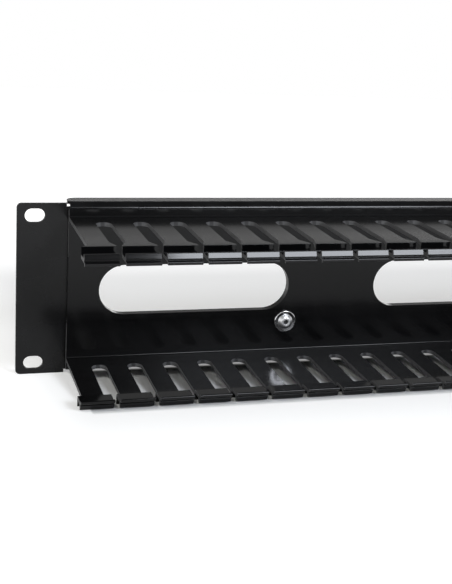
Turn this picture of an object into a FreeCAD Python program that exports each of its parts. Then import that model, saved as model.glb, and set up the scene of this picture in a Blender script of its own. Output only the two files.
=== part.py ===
"""Two-unit horizontal cable manager for a 19 inch rack: a folded steel panel that carries a
finger duct, held by four blind rivets on washers.

Millimetres. X runs along the panel, Z is up and the fingers point to -Y. The origin is the centre
of the four mounting slots, on the rear face of the ears, which lies against the rack rails.
"""
import FreeCAD, Part
import math
import os

# Rack panel: the width, the slot centres and the height of two units are those of the 19 inch rack
PANEL_WIDTH = 482.6
PANEL_HEIGHT = 88.4
SLOT_TO_END = 8.75
SLOT_TO_EDGE = 6.1
SLOT_LENGTH = 9.7
SLOT_HEIGHT = 6.8
SHEET = 1.5
EAR_WIDTH = 24.2
EAR_CORNER_RADIUS = 2.4
BEND_INNER_RADIUS = 2.5
FLANGE_DEPTH = 12.0
FLANGE_CORNER_RADIUS = 5.0
FLANGE_OVERHANG = 0.9
RELIEF_WIDTH = 1.7
RELIEF_DEPTH = 1.9
RELIEF_PAST_BEND = 0.5

# Openings that pass through the duct and the panel
OPENING_COUNT = 3
OPENING_PITCH = 150.0
OPENING_LENGTH = 101.0
OPENING_HEIGHT = 26.0

# Finger duct: depths are measured forward from the panel's front face
PLATE = 2.4
PLATE_PAST_BEND = 1.45
PLATE_LIP = 3.95
PLATE_END_CLEARANCE = 0.9
WALL = 2.0
WALL_FLARE = 0.45
WALL_ROOT_RADIUS = 0.6
EDGE_RADIUS = 0.3
FINGER_PITCH = 18.2
FINGER_WIDTH = 10.5
SLOT_START_DEPTH = 13.0
HEAD_START_DEPTH = 50.0
HEAD_OVERHANG_RIGHT = 3.3
HEAD_OVERHANG_LEFT = 1.7
HEAD_FLARE = 5.5
HEAD_GAP_SHIFTS = (1.2, 0.65)
END_OVERHANG = 3.1
END_FLARE = 2.5

# Snap tip of each finger: the wall steps in to a groove for the cover, then turns out to a nose with
# a slanted face; below a fine notch it ends in a rim that stands a little into the trough
SHOULDER_DEPTH = 57.0
STEP_IN = 3.2
GROOVE_RUN = 6.0
NOSE_DROP = 1.0
NOSE_TOP = 0.8
NOSE_RISE = 0.8
NOSE_FACE = 2.5
NOSE_LEAN = 1.0
NOTCH_HEIGHT = 0.87
NOTCH_DEPTH = 0.7
TIP_WALL = 1.7
TIP_TURN = 3.1
RIM_HEIGHT = 1.7
RIM_THICKNESS = 1.5
RIM_RADIUS = 0.55
DUCT_DEPTH = 67.0

# Blind rivets, with a washer under each head
RIVET_SPACING_X = 200.0
RIVET_DIAMETER = 4.0
RIVET_HOLE_CLEARANCE = 0.1
RIVET_HEAD_DIAMETER = 8.0
RIVET_HEAD_HEIGHT = 1.4
RIVET_HEAD_EDGE = 0.3
RIVET_BULB_DIAMETER = 6.2
RIVET_BULB_LENGTH = 3.0
MANDREL_DIAMETER = 2.5
MANDREL_CLEARANCE = 0.05
MANDREL_HEAD_DIAMETER = 3.8
MANDREL_HEAD_LENGTH = 1.4
MANDREL_BREAK = 1.1
WASHER_DIAMETER = 12.0
WASHER_THICKNESS = 1.0
WASHER_EDGE_RADIUS = 0.5
WASHER_TO_OPENING = 0.7

# Sizes that follow from the ones above
SLOT_SPACING_X = PANEL_WIDTH - 2 * SLOT_TO_END
SLOT_SPACING_Z = PANEL_HEIGHT - 2 * SLOT_TO_EDGE
PANEL_FRONT = -SHEET
EAR_LINE = PANEL_WIDTH / 2 - EAR_WIDTH
BEND_OUTER_RADIUS = BEND_INNER_RADIUS + SHEET
BEND_LINE = PANEL_HEIGHT / 2 - BEND_OUTER_RADIUS
PLATE_TOP = BEND_LINE + PLATE_PAST_BEND
WALL_OUTER = PLATE_TOP - PLATE_LIP
WALL_INNER = WALL_OUTER - WALL
DUCT_END = EAR_LINE - PLATE_END_CLEARANCE
FINGER_SLOT = FINGER_PITCH - FINGER_WIDTH
FINGER_SLOT_COUNT = math.floor((2 * DUCT_END - FINGER_WIDTH) / FINGER_PITCH)
RIVET_ROW = OPENING_HEIGHT / 2 + WASHER_TO_OPENING + WASHER_DIAMETER / 2
RIVET_HOLE_RADIUS = (RIVET_DIAMETER + RIVET_HOLE_CLEARANCE) / 2
RIVET_GRIP = SHEET + PLATE + WASHER_THICKNESS
THROUGH = 200.0


def vec(x, y, z):
    return FreeCAD.Vector(x, y, z)


def rounded_wire(corners, place):
    """Closed wire through corners (a, b, radius), each rounded by its radius, in the plane of place."""
    count = len(corners)
    entries = []
    exits = []
    middles = []
    for i in range(count):
        before = vec(corners[i - 1][0], corners[i - 1][1], 0)
        here = vec(corners[i][0], corners[i][1], 0)
        after = vec(corners[(i + 1) % count][0], corners[(i + 1) % count][1], 0)
        radius = corners[i][2]
        back = (before - here).normalize()
        ahead = (after - here).normalize()
        half_angle = back.getAngle(ahead) / 2
        reach = radius / math.tan(half_angle)
        bisector = (back + ahead).normalize() if radius else vec(0, 0, 0)
        entries.append(here + back * reach)
        exits.append(here + ahead * reach)
        middles.append(here + bisector * (radius / math.sin(half_angle) - radius))
    edges = []
    for i in range(count):
        if corners[i][2]:
            points = [place(p.x, p.y) for p in (entries[i], middles[i], exits[i])]
            edges.append(Part.Arc(*points).toShape())
        start = place(exits[i].x, exits[i].y)
        end = place(entries[(i + 1) % count].x, entries[(i + 1) % count].y)
        if start.distanceToPoint(end) > 1e-6:
            edges.append(Part.LineSegment(start, end).toShape())
    return Part.Wire(edges)


def forward(depth):
    """Y of a point that lies depth in front of the panel's front face."""
    return PANEL_FRONT - depth


def upright_obround(x, z, length, height):
    """Through cutter with round ends, along Y."""
    a = length / 2
    b = height / 2
    corners = [(x - a, z - b, b), (x + a, z - b, b), (x + a, z + b, b), (x - a, z + b, b)]
    wire = rounded_wire(corners, lambda u, v: vec(u, -THROUGH / 2, v))
    return Part.Face(wire).extrude(vec(0, THROUGH, 0))


def upright_drill(x, z, radius):
    return Part.makeCylinder(radius, THROUGH, vec(x, -THROUGH / 2, z), vec(0, 1, 0))


def opening_cutters():
    first = -OPENING_PITCH * (OPENING_COUNT - 1) / 2
    return [upright_obround(first + i * OPENING_PITCH, 0, OPENING_LENGTH, OPENING_HEIGHT)
            for i in range(OPENING_COUNT)]


def rivet_places():
    """Name, x and z of each rivet."""
    places = []
    for side, x in (("left", -RIVET_SPACING_X / 2), ("right", RIVET_SPACING_X / 2)):
        for row, z in (("upper", RIVET_ROW), ("lower", -RIVET_ROW)):
            places.append((row + "_" + side, x, z))
    return places


def rivet_hole_cutters():
    return [upright_drill(x, z, RIVET_HOLE_RADIUS) for _, x, z in rivet_places()]


def panel_web():
    """Flat face of the panel with both ears, before the folds."""
    a = PANEL_WIDTH / 2
    b = PANEL_HEIGHT / 2
    r = EAR_CORNER_RADIUS
    wire = rounded_wire([(-a, -b, r), (a, -b, r), (a, b, r), (-a, b, r)],
                        lambda u, v: vec(u, PANEL_FRONT, v))
    return Part.Face(wire).extrude(vec(0, SHEET, 0))


def panel_flange():
    """Top fold of the panel: a bend, and a flange that runs back to rounded corners and reaches a little
    over the relief notches."""
    top = PANEL_HEIGHT / 2
    rear = PANEL_FRONT + FLANGE_DEPTH
    half = EAR_LINE - RELIEF_WIDTH + FLANGE_OVERHANG
    radius = FLANGE_CORNER_RADIUS
    clear = PANEL_FRONT + BEND_OUTER_RADIUS + RELIEF_PAST_BEND
    corners = [(PANEL_FRONT, BEND_LINE, 0), (PANEL_FRONT, top, BEND_OUTER_RADIUS), (rear, top, 0),
               (rear, top - SHEET, 0), (0, top - SHEET, BEND_INNER_RADIUS), (0, BEND_LINE, 0)]
    section = rounded_wire(corners, lambda u, v: vec(-half, u, v))
    flange = Part.Face(section).extrude(vec(2 * half, 0, 0))
    for side in (-1, 1):
        x = side * (half - radius)
        base = vec(x - (side < 0) * 2 * radius, rear - radius, top - 1.5 * SHEET)
        corner = Part.makeBox(2 * radius, 2 * radius, 2 * SHEET, base)
        corner = corner.cut(Part.makeCylinder(radius, 4 * SHEET, vec(x, rear - radius, top - 3 * SHEET)))
        x = side * (half - FLANGE_OVERHANG)
        relief = Part.makeBox(2 * FLANGE_OVERHANG, clear - PANEL_FRONT, BEND_OUTER_RADIUS + SHEET,
                              vec(x - (side < 0) * 2 * FLANGE_OVERHANG, PANEL_FRONT, BEND_LINE))
        flange = flange.cut([corner, relief])
    return flange


def rack_panel():
    web = panel_web()
    half = EAR_LINE - RELIEF_WIDTH
    fold_height = PANEL_HEIGHT / 2 - BEND_LINE
    cutters = []
    for side in (-1, 1):
        z = BEND_LINE if side > 0 else -PANEL_HEIGHT / 2
        cutters.append(Part.makeBox(2 * half, 2 * SHEET, fold_height, vec(-half, -2 * SHEET, z)))
        z = PANEL_HEIGHT / 2 - RELIEF_DEPTH if side > 0 else -PANEL_HEIGHT / 2
        for x in (-EAR_LINE, half):
            cutters.append(Part.makeBox(RELIEF_WIDTH, 2 * SHEET, RELIEF_DEPTH, vec(x, -2 * SHEET, z)))
    web = web.cut(cutters)
    top = panel_flange()
    bottom = top.mirror(vec(0, 0, 0), vec(0, 0, 1))
    panel = web.fuse([top, bottom]).removeSplitter()
    holes = opening_cutters() + rivet_hole_cutters()
    for x in (-SLOT_SPACING_X / 2, SLOT_SPACING_X / 2):
        for z in (-SLOT_SPACING_Z / 2, SLOT_SPACING_Z / 2):
            holes.append(upright_obround(x, z, SLOT_LENGTH, SLOT_HEIGHT))
    return panel.cut(holes)


def duct_half_section():
    """Corners (depth, height, radius) of the upper half of the duct's section, from the trough round
    the snap tip to the rear of the back plate."""
    front_outer = WALL_OUTER + WALL_FLARE
    front_inner = front_outer - WALL
    groove = WALL_OUTER - STEP_IN
    tip_inner = groove - TIP_WALL
    nose_rear = SHOULDER_DEPTH + GROOVE_RUN + NOSE_RISE
    nose_front = nose_rear + NOSE_TOP
    nose_top = WALL_OUTER - NOSE_DROP
    nose_foot = nose_top - NOSE_FACE
    nose_foot_depth = nose_front + NOSE_LEAN
    rim_top = nose_foot - NOTCH_HEIGHT
    rim_under = rim_top - RIM_HEIGHT
    rim_rear = DUCT_DEPTH - RIM_THICKNESS
    turn_start = SHOULDER_DEPTH - TIP_TURN
    return [
        (PLATE, WALL_INNER, WALL_ROOT_RADIUS),
        (turn_start, front_inner, WALL),
        (turn_start + TIP_TURN, tip_inner, WALL / 2),
        (rim_rear, tip_inner, EDGE_RADIUS),
        (rim_rear + EDGE_RADIUS, rim_under, RIM_RADIUS / 2),
        (DUCT_DEPTH, rim_under, RIM_RADIUS),
        (DUCT_DEPTH, rim_top, RIM_RADIUS),
        (nose_foot_depth - NOTCH_DEPTH, rim_top, NOTCH_HEIGHT / 4),
        (nose_foot_depth - NOTCH_DEPTH, nose_foot, NOTCH_HEIGHT / 4),
        (nose_foot_depth, nose_foot, EDGE_RADIUS / 2),
        (nose_front, nose_top, EDGE_RADIUS),
        (nose_rear, nose_top, EDGE_RADIUS),
        (SHOULDER_DEPTH + GROOVE_RUN, groove, EDGE_RADIUS),
        (SHOULDER_DEPTH, groove, EDGE_RADIUS),
        (SHOULDER_DEPTH, front_outer, EDGE_RADIUS / 2),
        (PLATE, WALL_OUTER, WALL_ROOT_RADIUS / 3),
        (PLATE, PLATE_TOP, EDGE_RADIUS / 2),
        (0, PLATE_TOP, 0),
    ]


def duct_blank():
    """The duct as extruded, before its fingers are punched."""
    upper = duct_half_section()
    lower = [(depth, -height, radius) for depth, height, radius in reversed(upper)]
    start = -DUCT_END - END_OVERHANG
    wire = rounded_wire(upper + lower, lambda depth, z: vec(start, forward(depth), z))
    return Part.Face(wire).extrude(vec(DUCT_END - start, 0, 0))


def finger_slot_cutter(x, shift):
    """Punch for one slot, whose left edge is at x, through the upper and the lower fingers. It has a
    round rear end and runs out between two heads, which reach over it from both sides; shift moves
    that gap towards the left end."""
    radius = FINGER_SLOT / 2
    past = DUCT_DEPTH + 1
    right = x + FINGER_SLOT
    gap_left = x + HEAD_OVERHANG_RIGHT - shift
    gap_right = right - HEAD_OVERHANG_LEFT - shift
    corners = [
        (x, SLOT_START_DEPTH, radius),
        (x, HEAD_START_DEPTH, EDGE_RADIUS),
        (gap_left, HEAD_START_DEPTH + HEAD_FLARE, EDGE_RADIUS),
        (gap_left, past, 0),
        (gap_right, past, 0),
        (gap_right, HEAD_START_DEPTH + HEAD_FLARE, EDGE_RADIUS),
        (right, HEAD_START_DEPTH, EDGE_RADIUS),
        (right, SLOT_START_DEPTH, radius),
    ]
    wire = rounded_wire(corners, lambda u, depth: vec(u, forward(depth), -THROUGH / 2))
    return Part.Face(wire).extrude(vec(0, 0, THROUGH))


def left_end_cutter():
    """Trims the left end flush with the first finger, whose head reaches past it."""
    outside = -DUCT_END - END_OVERHANG
    flare_end = SHOULDER_DEPTH
    flare_start = flare_end - END_FLARE
    outline = [(outside - 1, -1), (-DUCT_END, -1), (-DUCT_END, flare_start), (outside, flare_end),
               (outside - 1, flare_end)]
    points = [vec(x, forward(depth), -THROUGH / 2) for x, depth in outline]
    return Part.Face(Part.makePolygon(points + points[:1])).extrude(vec(0, 0, THROUGH))


def finger_duct():
    first_slot = -DUCT_END + FINGER_WIDTH
    shifts = list(HEAD_GAP_SHIFTS) + [0.0] * FINGER_SLOT_COUNT
    cutters = [finger_slot_cutter(first_slot + i * FINGER_PITCH, shifts[i]) for i in range(FINGER_SLOT_COUNT)]
    cutters.append(left_end_cutter())
    return duct_blank().cut(cutters + opening_cutters() + rivet_hole_cutters())


def turned(corners, x, z):
    """Solid turned about a rivet's axis from corners (radius, forward distance from the washer, rounding)."""
    seat = forward(PLATE + WASHER_THICKNESS)
    wire = rounded_wire(corners, lambda r, a: vec(x + r, seat - a, z))
    return Part.Face(wire).revolve(vec(x, 0, z), vec(0, 1, 0), 360)


def washer(x, z):
    inner = RIVET_HOLE_RADIUS
    outer = WASHER_DIAMETER / 2
    return turned([(inner, 0, 0), (outer, 0, WASHER_EDGE_RADIUS), (outer, -WASHER_THICKNESS, 0),
                   (inner, -WASHER_THICKNESS, 0)], x, z)


def rivet(x, z):
    """Set rivet: a domed head on the washer, a shank, and a bulb that is drawn up behind the panel."""
    bore = MANDREL_DIAMETER / 2 + MANDREL_CLEARANCE
    shank = RIVET_DIAMETER / 2
    head = RIVET_HEAD_DIAMETER / 2
    bulb = RIVET_BULB_DIAMETER / 2
    blind_end = -RIVET_GRIP - RIVET_BULB_LENGTH
    crown = head * 0.62
    return turned([(bore, RIVET_HEAD_HEIGHT, EDGE_RADIUS / 2), (crown, RIVET_HEAD_HEIGHT, head / 4),
                   (head, RIVET_HEAD_EDGE, RIVET_HEAD_EDGE / 3), (head, 0, 0), (shank, 0, 0),
                   (shank, -RIVET_GRIP, 0), (bulb, -RIVET_GRIP, EDGE_RADIUS),
                   (bulb, blind_end, RIVET_BULB_LENGTH / 3), (bore, blind_end, 0)], x, z)


def mandrel(x, z):
    """What is left of the drawn mandrel: a head at the blind end and a stub that broke off in the bore."""
    stub = MANDREL_DIAMETER / 2
    head = MANDREL_HEAD_DIAMETER / 2
    blind_end = -RIVET_GRIP - RIVET_BULB_LENGTH
    tip = blind_end - MANDREL_HEAD_LENGTH
    broken = RIVET_HEAD_HEIGHT - MANDREL_BREAK
    return turned([(0, broken, 0), (stub, broken, 0), (stub, blind_end, 0), (head, blind_end, 0),
                   (head, tip, MANDREL_HEAD_LENGTH / 2), (0, tip, 0)], x, z)


def main():
    os.makedirs("parts", exist_ok=True)
    parts = {"rack_panel": rack_panel(), "finger_duct": finger_duct()}
    for name, x, z in rivet_places():
        parts["washer_" + name] = washer(x, z)
        parts["rivet_" + name] = rivet(x, z)
        parts["mandrel_" + name] = mandrel(x, z)
    for name, shape in parts.items():
        box = shape.BoundBox
        print(name, "solids", len(shape.Solids), "valid", shape.isValid(), "volume", round(shape.Volume, 1),
              "box", [round(v, 2) for v in (box.XMin, box.YMin, box.ZMin, box.XMax, box.YMax, box.ZMax)])
        shape.exportStep("parts/" + name + ".step")


main()
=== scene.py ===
import math

import bpy
from mathutils import Matrix, Vector


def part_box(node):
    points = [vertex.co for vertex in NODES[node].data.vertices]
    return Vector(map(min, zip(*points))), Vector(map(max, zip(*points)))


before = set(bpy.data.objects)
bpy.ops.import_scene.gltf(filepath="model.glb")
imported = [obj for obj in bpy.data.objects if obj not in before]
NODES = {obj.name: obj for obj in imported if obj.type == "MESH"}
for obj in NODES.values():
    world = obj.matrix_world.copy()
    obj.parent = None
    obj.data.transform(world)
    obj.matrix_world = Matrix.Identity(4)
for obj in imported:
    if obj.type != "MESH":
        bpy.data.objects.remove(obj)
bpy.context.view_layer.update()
scene = bpy.context.scene

# Lengths are in metres. The viewing position is worked out from the rack's known sizes.
CAMERA_AT = Vector((-0.29693, -0.51129, 0.16521))
CAMERA_RIGHT = Vector((0.9561, -0.2854, 0.0664))
CAMERA_DOWN = Vector((-0.0255, -0.3066, -0.9515))
CAMERA_CLIP_START = 0.01
FOCAL_PIXELS = 1075.7
IMAGE_HEIGHT = 584
SENSOR = 36.0

# Floor. Its glow is left out over the duct's footprint, a painted shadow under the object, and is full a
# short reach away from its edge. The rest of the way to white follows further out, a wider painted shadow
# that lasts longer behind the object than in front and fades faster to its sides.
FLOOR_HALF_SIZE = 6.0
FLOOR_COLOUR = (0.70, 0.70, 0.70)
FLOOR_ROUGHNESS = 0.9
FLOOR_SPECULAR = 0.1
FLOOR_GLOW = 0.33
FLOOR_GLOW_REACH = 0.004
FLOOR_GLOW_INSET = 0.006
FLOOR_PAINTED_SHADOW_BEHIND = 0.23
FLOOR_PAINTED_SHADOW_FADE = (0.012, 0.25)
FLOOR_PAINTED_SHADOW_SIDES = 2.5

# World. Each fade lies between two sines of the angle above the horizon.
STUDIO_GREY = 0.38
STUDIO_TOP = 0.10
HORIZON_FADE = (0.12, 0.32)
TOP_FADE = (0.42, 0.72)

# Lights: name, place, target, width, height, brightness of the face in each colour
LIGHTS = (
    ("key", (0.362, -1.059, 0.668), (-0.10, -0.07, 0.03), 0.52, 0.365, (24, 25, 26.8)),
    ("back", (0.20, 1.50, 0.13), (-0.05, 0.0, 0.03), 1.6, 0.30, (1.8, 1.8, 1.8)),
    ("fill", (-1.15, -0.25, 0.35), (-0.10, 0.0, 0.0), 1.2, 0.8, (1.2, 1.2, 1.2)),
    ("top_left", (-0.685, -0.246, 1.036), (-0.20, -0.03, -0.04), 0.25, 0.25, (21, 21, 20)),
)

# Parts of the duct that differ in finish. A pair is where a fade starts and ends: in one part of the normal,
# or in the place across the duct (Z) or in depth (Y).
CUT_NORMAL = (0.15, 0.30)
PAST_OPENINGS = (0.016, 0.020)
SLOT_END_NORMAL = (0.5, 0.8)
SLOT_END_FRONT = (-0.024, -0.022)
SLOT_END_BACK = (-0.012, -0.010)
SLOT_END_SHARE = 0.4
HEAD_DEPTH = (-0.058, -0.052)
WALL_EXTRA_ROUGHNESS = 0.07
ROOT_CORNER = (0, 0.0040, 0.0378)
ROOT_LINE = (0.0003, 0.0006)

# The middle of a noise texture's values, where most of them lie
NOISE_RANGE = (0.3, 0.7)

COAT_IOR = 1.5
RESTING_TILT_MOST = math.radians(20)
RESTING_TILT_STEPS = 40


def node(tree, kind, **inputs):
    """New shader node; keyword names are its input names with spaces as underscores."""
    made = tree.nodes.new(kind)
    for name, value in inputs.items():
        made.inputs[name.replace("_", " ")].default_value = value
    return made


def link(tree, source, output, target, socket):
    tree.links.new(source.outputs[output], target.inputs[socket])


def ramp(tree, source, output, low, high, fade=NOISE_RANGE):
    """Maps source from the range fade to low..high."""
    made = tree.nodes.new("ShaderNodeMapRange")
    made.inputs["From Min"].default_value = fade[0]
    made.inputs["From Max"].default_value = fade[1]
    made.inputs["To Min"].default_value = low
    made.inputs["To Max"].default_value = high
    link(tree, source, output, made, "Value")
    return made


def smooth_ramp(tree, source, output, low, high, fade):
    made = ramp(tree, source, output, low, high, fade)
    made.interpolation_type = "SMOOTHSTEP"
    return made


def math_node(tree, operation, first, first_output, second=None, second_output=None, value=None):
    made = tree.nodes.new("ShaderNodeMath")
    made.operation = operation
    link(tree, first, first_output, made, 0)
    if second:
        link(tree, second, second_output, made, 1)
    elif value is not None:
        made.inputs[1].default_value = value
    return made


def vector_math(tree, operation, source, output, value=None):
    made = tree.nodes.new("ShaderNodeVectorMath")
    made.operation = operation
    link(tree, source, output, made, 0)
    if value is not None:
        made.inputs[1].default_value = value
    return made


def blend(tree, factor, first, first_output, second, second_output):
    """Number that goes from first to second with factor."""
    mix = tree.nodes.new("ShaderNodeMix")
    mix.data_type = "FLOAT"
    link(tree, factor, "Value", mix, "Factor")
    link(tree, first, first_output, mix, "A")
    link(tree, second, second_output, mix, "B")
    return mix


def scaled_coordinates(tree, scale):
    """Object coordinates, stretched by scale along each axis."""
    coordinates = tree.nodes.new("ShaderNodeTexCoord")
    mapping = node(tree, "ShaderNodeMapping", Scale=scale)
    link(tree, coordinates, "Object", mapping, "Vector")
    return mapping


def object_place(tree):
    """Object coordinates as the outputs X, Y and Z."""
    place = tree.nodes.new("ShaderNodeSeparateXYZ")
    link(tree, scaled_coordinates(tree, (1, 1, 1)), "Vector", place, "Vector")
    return place


def noise(tree, scale, detail, stretch=(1, 1, 1)):
    made = node(tree, "ShaderNodeTexNoise", Scale=scale, Detail=detail, Roughness=0.5)
    link(tree, scaled_coordinates(tree, stretch), "Vector", made, "Vector")
    return made


def bump(tree, source, shader, strength, distance):
    made = node(tree, "ShaderNodeBump", Strength=strength, Distance=distance)
    link(tree, source, "Fac", made, "Height")
    link(tree, made, "Normal", shader, "Normal")


def tint(tree, source, output, shader, dark, light, fade=NOISE_RANGE):
    """Base colour that wanders between dark and light."""
    factor = ramp(tree, source, output, 0.0, 1.0, fade)
    mix = tree.nodes.new("ShaderNodeMix")
    mix.data_type = "RGBA"
    mix.inputs["A"].default_value = (*dark, 1)
    mix.inputs["B"].default_value = (*light, 1)
    link(tree, factor, "Result", mix, "Factor")
    tree.links.new(mix.outputs["Result"], shader.inputs["Base Color"])


def material(name, **inputs):
    """New material, its node tree and its shader; keyword names are the shader's input names."""
    made = bpy.data.materials.new(name)
    made.use_nodes = True
    tree = made.node_tree
    shader = tree.nodes["Principled BSDF"]
    for socket, value in inputs.items():
        shader.inputs[socket.replace("_", " ")].default_value = value
    return made, tree, shader


def powder_coat():
    """Satin black powder coat with a fine orange peel."""
    made, tree, shader = material("powder_coat", IOR=COAT_IOR, Specular_IOR_Level=0.19)
    cloud = noise(tree, scale=60.0, detail=3.0)
    tint(tree, cloud, "Fac", shader, dark=(0.0035, 0.0035, 0.0037), light=(0.0065, 0.0065, 0.0068))
    grain = noise(tree, scale=2600.0, detail=3.0)
    rough = ramp(tree, grain, "Fac", low=0.15, high=0.22)
    link(tree, rough, "Result", shader, "Roughness")
    peel = noise(tree, scale=1500.0, detail=2.0)
    bump(tree, peel, shader, strength=0.25, distance=0.00005)
    return made


def cut_mask(tree):
    """1 on the fingers' punched sides, a share of 1 on the slots' round ends, otherwise 0."""
    geometry = tree.nodes.new("ShaderNodeNewGeometry")
    axis = vector_math(tree, "ABSOLUTE", geometry, "True Normal")
    split = tree.nodes.new("ShaderNodeSeparateXYZ")
    link(tree, axis, "Vector", split, "Vector")
    place = object_place(tree)

    sides = ramp(tree, split, "X", 0.0, 1.0, CUT_NORMAL)
    off_centre = math_node(tree, "ABSOLUTE", place, "Z")
    fingers = ramp(tree, off_centre, "Value", 0.0, 1.0, PAST_OPENINGS)
    sides = math_node(tree, "MULTIPLY", sides, "Result", fingers, "Result")

    ends = ramp(tree, split, "Y", 0.0, 1.0, SLOT_END_NORMAL)
    past_front = ramp(tree, place, "Y", 0.0, 1.0, SLOT_END_FRONT)
    before_back = ramp(tree, place, "Y", 1.0, 0.0, SLOT_END_BACK)
    ends = math_node(tree, "MULTIPLY", ends, "Result", past_front, "Result")
    ends = math_node(tree, "MULTIPLY", ends, "Value", before_back, "Result")
    ends = math_node(tree, "MULTIPLY", ends, "Value", value=SLOT_END_SHARE)
    return math_node(tree, "MAXIMUM", sides, "Value", ends, "Value")


def root_mask(tree):
    """Dull line in the outer corners where the walls leave the base plate."""
    across = scaled_coordinates(tree, (0, 1, 1))
    place = vector_math(tree, "ABSOLUTE", across, "Vector")
    offset = vector_math(tree, "DISTANCE", place, "Vector", ROOT_CORNER)
    return ramp(tree, offset, "Value", 1.0, 0.0, ROOT_LINE)


def duct_plastic():
    """Glossy black plastic with the extruder's faint lines. The heads shine most, the cut faces are dull."""
    made, tree, shader = material("duct_plastic", IOR=COAT_IOR, Specular_IOR_Level=0.21)
    cut = cut_mask(tree)
    cloud = noise(tree, scale=45.0, detail=2.0, stretch=(0.3, 1, 1))
    cloudy = ramp(tree, cloud, "Fac", low=0.0, high=0.03)
    drag = noise(tree, scale=700.0, detail=3.0, stretch=(1, 0.15, 1))
    dragged = ramp(tree, drag, "Fac", low=0.7, high=1.0)
    shade = blend(tree, cut, cloudy, "Result", dragged, "Result")
    tint(tree, shade, "Result", shader, dark=(0.0012, 0.0012, 0.0014), light=(0.08, 0.08, 0.082),
         fade=(0.0, 1.0))

    lines = noise(tree, scale=900.0, detail=2.0, stretch=(0.01, 1, 1))
    heads = ramp(tree, lines, "Fac", low=0.07, high=0.12)
    walls = ramp(tree, object_place(tree), "Y", 0.0, WALL_EXTRA_ROUGHNESS, HEAD_DEPTH)
    smooth = math_node(tree, "ADD", heads, "Result", walls, "Result")
    dull = ramp(tree, drag, "Fac", low=0.42, high=0.56)
    rough = blend(tree, cut, smooth, "Value", dull, "Result")
    rough = math_node(tree, "MAXIMUM", rough, "Result", root_mask(tree), "Result")
    link(tree, rough, "Value", shader, "Roughness")

    wave = noise(tree, scale=260.0, detail=3.0, stretch=(0.25, 1, 1))
    bump(tree, wave, shader, strength=0.05, distance=0.00010)
    return made


def turned_metal(name, dark, light, rough, marks):
    """Bare metal with fine marks and a little uneven gloss."""
    made, tree, shader = material(name, Metallic=1.0)
    cloud = noise(tree, scale=500.0, detail=3.0)
    tint(tree, cloud, "Fac", shader, dark, light)
    grain = noise(tree, scale=4000.0, detail=2.0)
    link(tree, ramp(tree, grain, "Fac", *rough), "Result", shader, "Roughness")
    bump(tree, grain, shader, strength=marks, distance=0.00005)
    return made


def finish_nodes():
    coats = {
        "rack_panel": powder_coat(),
        "finger_duct": duct_plastic(),
        "washer": turned_metal("washer_zinc", dark=(0.42, 0.42, 0.43), light=(0.60, 0.60, 0.61),
                               rough=(0.06, 0.10), marks=0.10),
        "rivet": turned_metal("rivet_aluminium", dark=(0.62, 0.62, 0.63), light=(0.78, 0.78, 0.79),
                              rough=(0.28, 0.40), marks=0.2),
        # The mandrel's near-black colour is painted shade: it stands in for the dark bore of the rivet.
        "mandrel": turned_metal("mandrel_steel", dark=(0.03, 0.03, 0.031), light=(0.07, 0.07, 0.072),
                                rough=(0.4, 0.6), marks=0.6),
    }
    for name, obj in NODES.items():
        key = name if name in coats else name.split("_")[0]
        for place in obj.material_slots:
            place.material = coats[key]


def resting_tilt():
    """Tilt and height of the surface that touches the duct's lower heads and the panel's lower bend."""
    def lowest(name, angle):
        return min(v.co.z * math.cos(angle) + v.co.y * math.sin(angle) for v in NODES[name].data.vertices)

    low, high = 0.0, RESTING_TILT_MOST
    for _ in range(RESTING_TILT_STEPS):
        middle = (low + high) / 2
        if lowest("finger_duct", middle) > lowest("rack_panel", middle):
            low = middle
        else:
            high = middle
    return low, lowest("rack_panel", low)


def background_rays(tree):
    """1 for the rays that see the background: from the lens, off gloss and through glass."""
    path = tree.nodes.new("ShaderNodeLightPath")
    first = math_node(tree, "MAXIMUM", path, "Is Camera Ray", path, "Is Glossy Ray")
    return math_node(tree, "MAXIMUM", first, "Value", path, "Is Transmission Ray")


def footprint_distance(tree, low, high):
    """Distance in the floor from the rectangle between low and high, counted more to its sides."""
    centre = (low + high) / 2
    half = (high - low) / 2
    any_height = 10  # more than the object's, so that the height doesn't count
    steps = (
        ("SUBTRACT", (centre.x, centre.y, 0)),
        ("ABSOLUTE", None),
        ("SUBTRACT", (half.x, half.y, any_height)),
        ("MAXIMUM", (0, 0, 0)),
        ("MULTIPLY", (FLOOR_PAINTED_SHADOW_SIDES, 1, 1)),
    )
    source, output = tree.nodes.new("ShaderNodeNewGeometry"), "Position"
    for operation, value in steps:
        source, output = vector_math(tree, operation, source, output, value), "Vector"
    return vector_math(tree, "LENGTH", source, output)


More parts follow.
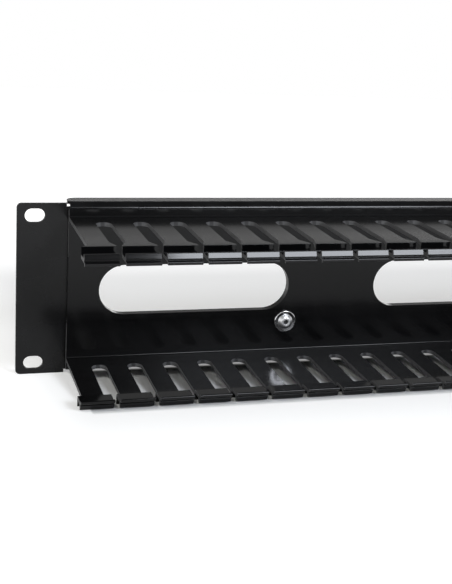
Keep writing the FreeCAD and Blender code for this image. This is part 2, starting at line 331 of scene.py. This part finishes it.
def floor_material():
    """White table. It glows like the backdrop for lens and gloss, apart from painted shadows under and
    behind the object.
    """
    made, tree, shader = material("floor", Base_Color=(*FLOOR_COLOUR, 1), Roughness=FLOOR_ROUGHNESS,
                                  Specular_IOR_Level=FLOOR_SPECULAR)
    # Painted shadow: no glow over the duct's footprint, fading in over FLOOR_GLOW_REACH beyond its edge.
    low, high = (Vector(corner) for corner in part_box("finger_duct"))
    low.x += FLOOR_GLOW_INSET
    high.x -= FLOOR_GLOW_INSET
    # The footprint stops short of the duct's back, so the glow paints some light on the floor along the
    # panel's foot.
    high.y -= FLOOR_GLOW_REACH / 2
    distance = footprint_distance(tree, low, high)
    near = smooth_ramp(tree, distance, "Value", 0.0, FLOOR_GLOW, (0.0, FLOOR_GLOW_REACH))
    # Wider painted shadow: the rest of the glow fades in further out, from the footprint stretched behind
    # the object.
    painted_shadow_distance = footprint_distance(tree, low, high + Vector((0, FLOOR_PAINTED_SHADOW_BEHIND, 0)))
    far = ramp(tree, painted_shadow_distance, "Value", 0.0, 1.0 - FLOOR_GLOW, FLOOR_PAINTED_SHADOW_FADE)
    both = math_node(tree, "ADD", near, "Result", far, "Result")
    strength = math_node(tree, "MULTIPLY", both, "Value", background_rays(tree), "Value")
    glow = node(tree, "ShaderNodeEmission", Color=(1, 1, 1, 1))
    link(tree, strength, "Value", glow, "Strength")
    add = tree.nodes.new("ShaderNodeAddShader")
    link(tree, shader, "BSDF", add, 0)
    link(tree, glow, "Emission", add, 1)
    link(tree, add, "Shader", tree.nodes["Material Output"], "Surface")
    return made


def make_floor(tilt, height):
    """Floor under the tipped object. Returns the direction that is up from it."""
    up = Vector((0, math.sin(tilt), math.cos(tilt)))
    across = Vector((1, 0, 0))
    along = up.cross(across)
    centre = up * height
    size = FLOOR_HALF_SIZE
    signs = ((-1, -1), (1, -1), (1, 1), (-1, 1))
    mesh = bpy.data.meshes.new("floor")
    mesh.from_pydata([centre + across * a * size + along * b * size for a, b in signs], [], [(0, 1, 2, 3)])
    floor = bpy.data.objects.new("floor", mesh)
    scene.collection.objects.link(floor)
    mesh.materials.append(floor_material())
    return up


def make_world(up):
    """White at the horizon, greyer above it and dark overhead, as in a studio, and white to the lens."""
    world = bpy.data.worlds.new("studio")
    scene.world = world
    world.use_nodes = True
    tree = world.node_tree
    background = tree.nodes["Background"]
    background.inputs["Color"].default_value = (1, 1, 1, 1)
    coordinates = tree.nodes.new("ShaderNodeTexCoord")
    rise = vector_math(tree, "DOT_PRODUCT", coordinates, "Generated", up)
    low = smooth_ramp(tree, rise, "Value", 1.0 - STUDIO_GREY, 0.0, HORIZON_FADE)
    high = smooth_ramp(tree, rise, "Value", STUDIO_GREY, STUDIO_TOP, TOP_FADE)
    both = math_node(tree, "ADD", low, "Result", high, "Result")
    path = tree.nodes.new("ShaderNodeLightPath")
    strength = math_node(tree, "MAXIMUM", both, "Value", path, "Is Camera Ray")
    link(tree, strength, "Value", background, "Strength")


def softbox(name, at, target, width, height, radiance):
    """Rectangular area light, given by the brightness of its face in each colour, where 1 is white."""
    light = bpy.data.lights.new(name, "AREA")
    light.shape = "RECTANGLE"
    light.size = width
    light.size_y = height
    level = max(radiance)
    light.color = [value / level for value in radiance]
    light.energy = level * math.pi * width * height
    obj = bpy.data.objects.new(name, light)
    scene.collection.objects.link(obj)
    obj.location = at
    obj.rotation_euler = (Vector(target) - Vector(at)).to_track_quat("-Z", "Y").to_euler()


def make_camera():
    data = bpy.data.cameras.new("camera")
    data.sensor_fit = "VERTICAL"
    data.sensor_height = SENSOR
    data.sensor_width = SENSOR
    data.lens = FOCAL_PIXELS * SENSOR / IMAGE_HEIGHT
    data.clip_start = CAMERA_CLIP_START
    camera = bpy.data.objects.new("camera", data)
    scene.collection.objects.link(camera)
    right = CAMERA_RIGHT.normalized()
    up = -CAMERA_DOWN.normalized()
    back = right.cross(up).normalized()
    up = back.cross(right)
    turn = Matrix((right, up, back)).transposed().to_4x4()
    camera.matrix_world = Matrix.Translation(CAMERA_AT) @ turn
    scene.camera = camera


finish_nodes()
make_world(make_floor(*resting_tilt()))
for light_values in LIGHTS:
    softbox(*light_values)
make_camera()
scene.view_settings.view_transform = "Standard"
